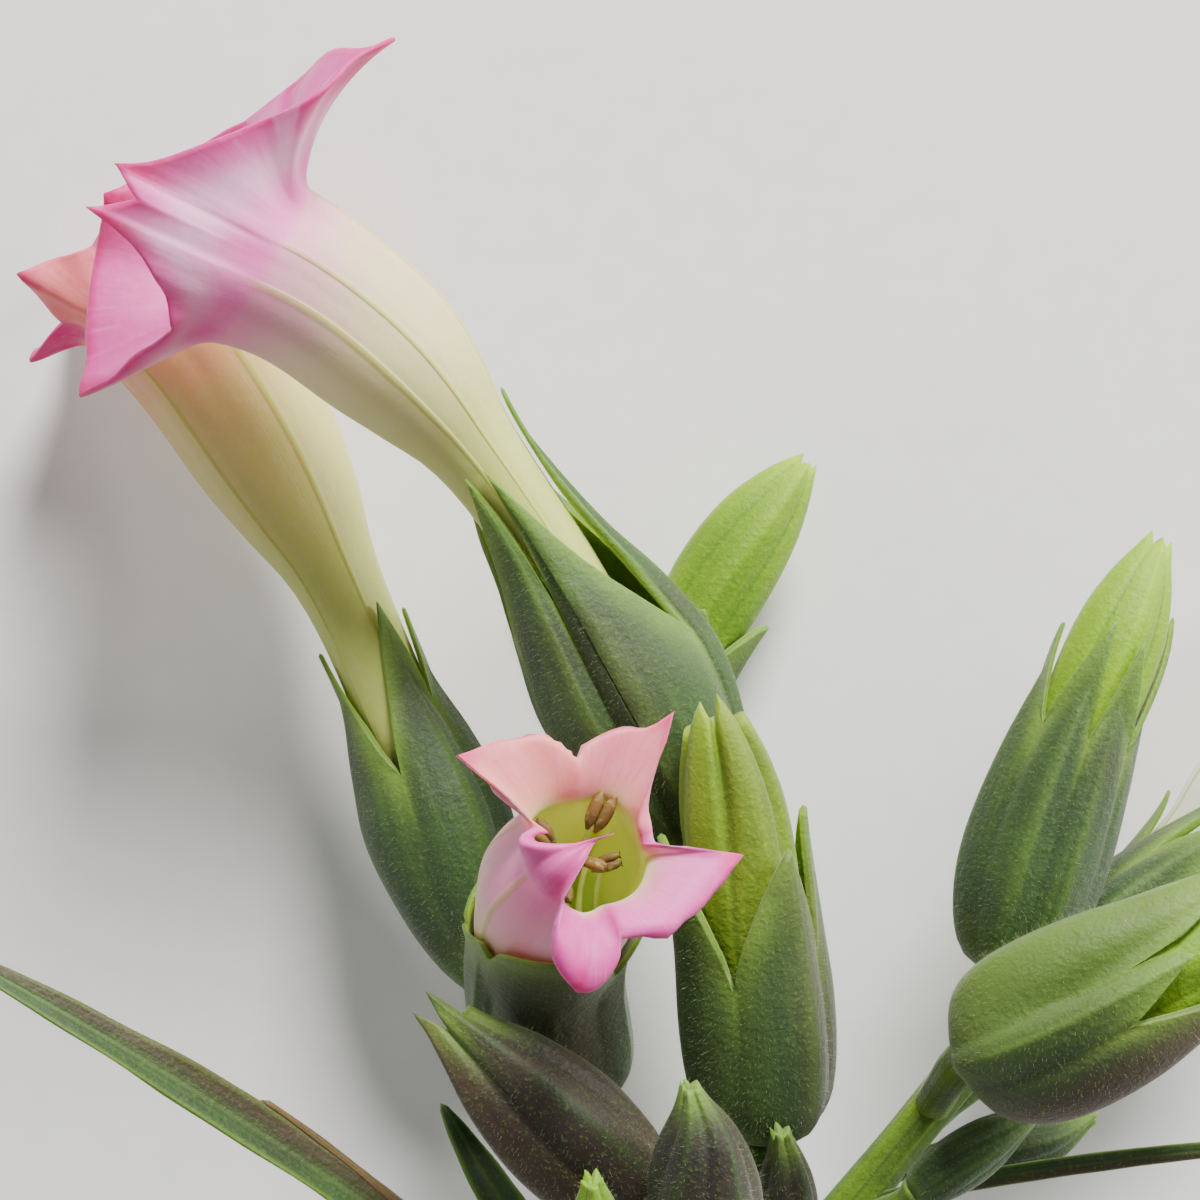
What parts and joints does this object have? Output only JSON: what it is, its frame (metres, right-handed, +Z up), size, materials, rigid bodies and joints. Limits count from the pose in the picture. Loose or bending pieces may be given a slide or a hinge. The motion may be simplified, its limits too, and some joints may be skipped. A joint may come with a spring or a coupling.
{
  "type": "tobacco plant flowering top",
  "caption": "Cut flowering top of a tobacco plant lying on its back: branched stem with long pink trumpet flowers, green calyxes, yellow-green buds and narrow bracts.",
  "frame": {"origin": "middle of the bounding box, on the flat ground that the cutting lies on", "axes": "+Y from the stem's cut end towards the flowers, +X to the right as seen from above, +Z up"},
  "size_m": [0.097, 0.1018, 0.039],
  "materials": {
    "stem": "fresh green, finely hairy",
    "calyx": "matt leaf green, finely hairy",
    "petal": "satin pink petal",
    "bud_petal": "satin yellow green",
    "young_bud": "dark purplish green, hairy",
    "bract": "matt leaf green",
    "dry_bract": "dry brown",
    "anther": "matt olive brown"
  },
  "bodies": {
    "root": {"main_stem": "stem", "right_branch": "stem", "upper_flower_stalk": "stem", "upper_flower_calyx": "calyx", "upper_flower_corolla": "petal", "left_flower_stalk": "stem", "left_flower_calyx": "calyx", "left_flower_corolla": "petal", "small_flower_stalk": "stem", "small_flower_calyx": "calyx", "small_flower_corolla": "petal", "right_flower_stalk": "stem", "right_flower_calyx": "calyx", "right_flower_corolla": "petal", "small_flower_stamens": "anther", "centre_bud_stalk": "stem", "centre_bud_calyx": "calyx", "centre_bud_corolla": "bud_petal", "back_bud_stalk": "stem", "back_bud_calyx": "calyx", "back_bud_corolla": "bud_petal", "tall_bud_stalk": "stem", "tall_bud_calyx": "calyx", "tall_bud_corolla": "bud_petal", "near_bud_stalk": "stem", "near_bud_calyx": "calyx", "near_bud_corolla": "bud_petal", "low_bud_stalk": "stem", "low_bud_calyx": "calyx", "low_bud_corolla": "bud_petal", "striped_bud_stalk": "stem", "striped_bud": "young_bud", "front_bud_stalk": "stem", "front_bud": "young_bud", "thin_bud_stalk": "stem", "thin_bud": "young_bud", "small_bud_stalk": "stem", "small_bud": "calyx", "branch_bud_1_stalk": "stem", "branch_bud_1": "calyx", "branch_bud_2_stalk": "stem", "branch_bud_2": "calyx", "long_bract": "bract", "right_bract": "bract", "dark_bract": "bract", "dry_bract": "dry_bract"}
  },
  "joints": []
}
